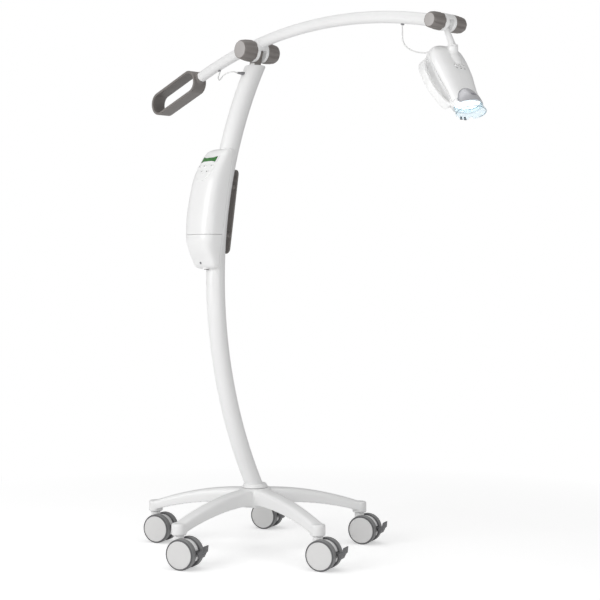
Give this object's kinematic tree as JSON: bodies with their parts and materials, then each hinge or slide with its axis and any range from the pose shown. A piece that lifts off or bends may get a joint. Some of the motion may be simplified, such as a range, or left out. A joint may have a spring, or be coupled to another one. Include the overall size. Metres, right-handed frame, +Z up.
{
  "type": "teeth whitening lamp",
  "caption": "Wheeled floor lamp: star base on casters, bowed column with control box, tilting boom with grip loop, and a lamp head with side grips",
  "frame": {"origin": "on the floor plane under the middle of the object's bounding box", "axes": "+X runs along the boom towards the lamp head, +Z is up, and -Y is the side the control box faces"},
  "size_m": [1.1818, 0.6154, 1.335],
  "materials": {
    "white_paint": "smooth satin powder coat",
    "white_shell": "smooth white moulding",
    "grip_grey": "soft grey moulding",
    "wheel_grey": "grey tread with lighter caps",
    "pedal_grey": "dark grey moulding",
    "steel": "zinc plated",
    "visor_silver": "silver grey reflector",
    "clear_guard": "clear moulding",
    "lens_glass": "clear window",
    "module_metal": "bright",
    "display_green": "lit green display",
    "key_grey": "soft keys",
    "lead_white": "flexible white jacket",
    "inlet_dark": "black moulding"
  },
  "bodies": {
    "stand": {"base_star": "white_paint", "hub_collar": "white_paint", "column_bolt": "steel", "column_top_bush": "white_shell", "column_gland": "lead_white", "box_back_shell": "white_shell", "box_front_cover": "white_shell", "box_lower_cover": "white_shell", "key_plate": "white_shell", "lcd_frame": "white_shell", "lcd_window": "display_green", "cover_screw": "steel", "power_inlet": "inlet_dark", "cord_cleat": "grip_grey", "column_tube": "white_paint"},
    "swivel": {"swivel_yoke": "grip_grey"},
    "boom": {"boom_hub": "white_paint", "boom_front_tube": "white_paint", "boom_rear_tube": "white_paint", "grommet_front": "lead_white", "grommet_rear": "lead_white", "handle_loop": "grip_grey", "boom_tip": "white_paint", "lead_head": "lead_white", "lead_column": "lead_white"},
    "neck": {"neck": "white_paint"},
    "head": {"head_frame": "white_shell", "head_cover": "white_shell", "visor_ring": "visor_silver", "aperture_lens": "lens_glass", "led_module": "module_metal", "guard_lip": "clear_guard"},
    "caster_1_fork": {"caster_1_hood": "white_shell"},
    "caster_1_wheelset": {"caster_1_wheels": "wheel_grey"},
    "caster_1_brake": {"caster_1_pedal": "pedal_grey"},
    "caster_2_fork": {"caster_2_hood": "white_shell"},
    "caster_2_wheelset": {"caster_2_wheels": "wheel_grey"},
    "caster_2_brake": {"caster_2_pedal": "pedal_grey"},
    "caster_3_fork": {"caster_3_hood": "white_shell"},
    "caster_3_wheelset": {"caster_3_wheels": "wheel_grey"},
    "caster_3_brake": {"caster_3_pedal": "pedal_grey"},
    "caster_4_fork": {"caster_4_hood": "white_shell"},
    "caster_4_wheelset": {"caster_4_wheels": "wheel_grey"},
    "caster_4_brake": {"caster_4_pedal": "pedal_grey"},
    "caster_5_fork": {"caster_5_hood": "white_shell"},
    "caster_5_wheelset": {"caster_5_wheels": "wheel_grey"},
    "caster_5_brake": {"caster_5_pedal": "pedal_grey"},
    "boom_knob_left": {"boom_knob_left": "grip_grey"},
    "head_knob_left": {"head_knob_left": "grip_grey"},
    "boom_knob_right": {"boom_knob_right": "grip_grey"},
    "head_knob_right": {"head_knob_right": "grip_grey"},
    "panel_button_1": {"panel_button_1": "key_grey"},
    "panel_button_2": {"panel_button_2": "key_grey"},
    "panel_button_3": {"panel_button_3": "key_grey"},
    "panel_button_4": {"panel_button_4": "key_grey"},
    "panel_button_5": {"panel_button_5": "key_grey"},
    "head_button_1": {"head_button_1": "key_grey"},
    "head_button_2": {"head_button_2": "key_grey"},
    "head_button_3": {"head_button_3": "key_grey"}
  },
  "joints": [
    {"name": "caster_1_swivel", "type": "hinge", "parent": "stand", "child": "caster_1_fork", "pos_m": [-0.03562, 0.26216, 0.08], "axis": [0, 0, 1], "continuous": true},
    {"name": "caster_1_spin", "type": "hinge", "parent": "caster_1_fork", "child": "caster_1_wheelset", "pos_m": [-0.0209, 0.26841, 0.0375], "axis": [-0.3907, 0.9205, 0], "continuous": true},
    {"name": "caster_1_brake_pedal", "type": "hinge", "parent": "caster_1_fork", "child": "caster_1_brake", "pos_m": [0.0012, 0.27779, 0.0415], "axis": [-0.3907, 0.9205, 0], "range_deg": [0, 15]},
    {"name": "caster_2_swivel", "type": "hinge", "parent": "stand", "child": "caster_2_fork", "pos_m": [-0.36557, 0.20398, 0.08], "axis": [0, 0, 1], "continuous": true},
    {"name": "caster_2_spin", "type": "hinge", "parent": "caster_2_fork", "child": "caster_2_wheelset", "pos_m": [-0.35084, 0.21024, 0.0375], "axis": [-0.3907, 0.9205, 0], "continuous": true},
    {"name": "caster_2_brake_pedal", "type": "hinge", "parent": "caster_2_fork", "child": "caster_2_brake", "pos_m": [-0.32875, 0.21961, 0.0415], "axis": [-0.3907, 0.9205, 0], "range_deg": [0, 15]},
    {"name": "caster_3_swivel", "type": "hinge", "parent": "stand", "child": "caster_3_fork", "pos_m": [-0.4122, -0.12779, 0.08], "axis": [0, 0, 1], "continuous": true},
    {"name": "caster_3_spin", "type": "hinge", "parent": "caster_3_fork", "child": "caster_3_wheelset", "pos_m": [-0.39747, -0.12154, 0.0375], "axis": [-0.3907, 0.9205, 0], "continuous": true},
    {"name": "caster_3_brake_pedal", "type": "hinge", "parent": "caster_3_fork", "child": "caster_3_brake", "pos_m": [-0.37538, -0.11217, 0.0415], "axis": [-0.3907, 0.9205, 0], "range_deg": [0, 15]},
    {"name": "caster_4_swivel", "type": "hinge", "parent": "stand", "child": "caster_4_fork", "pos_m": [-0.11107, -0.27466, 0.08], "axis": [0, 0, 1], "continuous": true},
    {"name": "caster_4_spin", "type": "hinge", "parent": "caster_4_fork", "child": "caster_4_wheelset", "pos_m": [-0.09634, -0.26841, 0.0375], "axis": [-0.3907, 0.9205, 0], "continuous": true},
    {"name": "caster_4_brake_pedal", "type": "hinge", "parent": "caster_4_fork", "child": "caster_4_brake", "pos_m": [-0.07425, -0.25904, 0.0415], "axis": [-0.3907, 0.9205, 0], "range_deg": [0, 15]},
    {"name": "caster_5_swivel", "type": "hinge", "parent": "stand", "child": "caster_5_fork", "pos_m": [0.12167, -0.03366, 0.08], "axis": [0, 0, 1], "continuous": true},
    {"name": "caster_5_spin", "type": "hinge", "parent": "caster_5_fork", "child": "caster_5_wheelset", "pos_m": [0.13639, -0.02741, 0.0375], "axis": [-0.3907, 0.9205, 0], "continuous": true},
    {"name": "caster_5_brake_pedal", "type": "hinge", "parent": "caster_5_fork", "child": "caster_5_brake", "pos_m": [0.15849, -0.01803, 0.0415], "axis": [-0.3907, 0.9205, 0], "range_deg": [0, 15]},
    {"name": "boom_swivel", "type": "hinge", "parent": "stand", "child": "swivel", "pos_m": [-0.16056, 0.006, 1.25], "axis": [0, 0, 1], "range_deg": [-45, 45]},
    {"name": "boom_tilt", "type": "hinge", "parent": "swivel", "child": "boom", "pos_m": [-0.15156, 0.006, 1.284], "axis": [0, 1, 0], "range_deg": [-40, 35], "deforming": ["lead_column"]},
    {"name": "head_tilt", "type": "hinge", "parent": "boom", "child": "neck", "pos_m": [0.49444, 0.006, 1.26459], "axis": [0, 1, 0], "range_deg": [-55, 40], "deforming": ["lead_head"]},
    {"name": "head_swivel", "type": "hinge", "parent": "neck", "child": "head", "pos_m": [0.51544, 0.006, 1.2015], "axis": [0, 0, 1], "range_deg": [-60, 60]},
    {"name": "boom_knob_left_turn", "type": "hinge", "parent": "boom", "child": "boom_knob_left", "pos_m": [-0.15156, 0.006, 1.284], "axis": [0, 1, 0], "range_deg": [-180, 0]},
    {"name": "head_knob_left_turn", "type": "hinge", "parent": "boom", "child": "head_knob_left", "pos_m": [0.49444, 0.006, 1.26459], "axis": [0, 1, 0], "range_deg": [-180, 0]},
    {"name": "boom_knob_right_turn", "type": "hinge", "parent": "boom", "child": "boom_knob_right", "pos_m": [-0.15156, 0.006, 1.284], "axis": [0, 1, 0], "range_deg": [-180, 0]},
    {"name": "head_knob_right_turn", "type": "hinge", "parent": "boom", "child": "head_knob_right", "pos_m": [0.49444, 0.006, 1.26459], "axis": [0, 1, 0], "range_deg": [-180, 0]},
    {"name": "panel_button_1_press", "type": "slide", "parent": "stand", "child": "panel_button_1", "axis": [0, 0.8796, -0.4756], "range_m": [0, 0.0012], "stiffness_N_per_m": 400},
    {"name": "panel_button_2_press", "type": "slide", "parent": "stand", "child": "panel_button_2", "axis": [0, 0.8796, -0.4756], "range_m": [0, 0.0012], "stiffness_N_per_m": 400},
    {"name": "panel_button_3_press", "type": "slide", "parent": "stand", "child": "panel_button_3", "axis": [0, 0.8796, -0.4756], "range_m": [0, 0.0012], "stiffness_N_per_m": 400},
    {"name": "panel_button_4_press", "type": "slide", "parent": "stand", "child": "panel_button_4", "axis": [0, 0.8796, -0.4756], "range_m": [0, 0.0012], "stiffness_N_per_m": 400},
    {"name": "panel_button_5_press", "type": "slide", "parent": "stand", "child": "panel_button_5", "axis": [0, 0.8796, -0.4756], "range_m": [0, 0.0012], "stiffness_N_per_m": 400},
    {"name": "head_button_1_press", "type": "slide", "parent": "head", "child": "head_button_1", "axis": [-0.866, 0, -0.5], "range_m": [0, 0.0012], "stiffness_N_per_m": 400},
    {"name": "head_button_2_press", "type": "slide", "parent": "head", "child": "head_button_2", "axis": [-0.866, 0, -0.5], "range_m": [0, 0.0012], "stiffness_N_per_m": 400},
    {"name": "head_button_3_press", "type": "slide", "parent": "head", "child": "head_button_3", "axis": [-0.866, 0, -0.5], "range_m": [0, 0.0012], "stiffness_N_per_m": 400}
  ]
}
